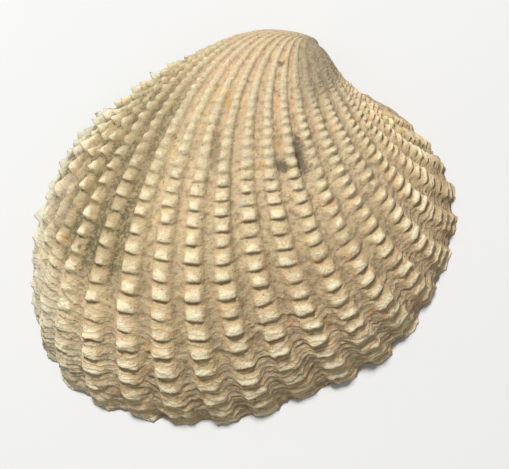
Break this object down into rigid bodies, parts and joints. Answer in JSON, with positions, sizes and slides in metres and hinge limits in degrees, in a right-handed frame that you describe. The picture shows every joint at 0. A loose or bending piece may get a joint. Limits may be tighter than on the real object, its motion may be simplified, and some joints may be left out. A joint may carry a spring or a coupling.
{
  "type": "ribbed cardita clam shell valve",
  "caption": "Single right valve of a clam shell with strong knobbed ribs, a forward-turned beak and a hollow inside, lying mouth down on its flat margin.",
  "frame": {"origin": "centre of the footprint, on the flat plane of the margin that the valve rests on", "axes": "+X to the front end of the shell, along its longest extent; +Y to the beak and hinge; +Z out of the convex side"},
  "size_m": [0.0364, 0.035, 0.0106],
  "materials": {
    "chalky_shell": "matt bleached shell, cream with tan grooves, grey-green dirt and rusty stains"
  },
  "bodies": {
    "root": {"valve": "chalky_shell"}
  },
  "joints": []
}
